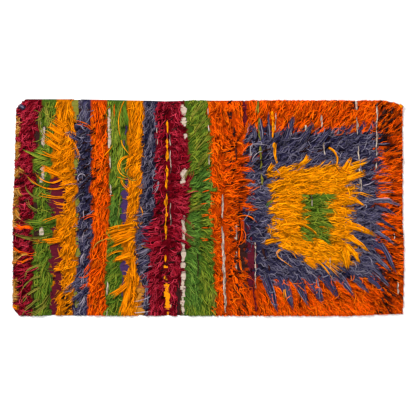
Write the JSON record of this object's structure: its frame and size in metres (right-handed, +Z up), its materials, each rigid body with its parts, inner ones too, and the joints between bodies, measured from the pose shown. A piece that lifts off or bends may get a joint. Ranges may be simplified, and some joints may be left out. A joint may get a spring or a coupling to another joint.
{
  "type": "tulu rug",
  "caption": "Rectangular hand-knotted shag rug with long wool locks in coloured stripes and a nested-square field at one end.",
  "frame": {"origin": "middle of the rug's bounding box, on the floor under it", "axes": "+X along the rug's length towards the end with the nested squares, +Y across its width, +Z up through the pile"},
  "size_m": [1.797, 1.0008, 0.034],
  "materials": {
    "dyed_wool": "matte long wool pile in orange, gold, crimson, green and navy stripes"
  },
  "bodies": {
    "root": {"rug": "dyed_wool"}
  },
  "joints": []
}
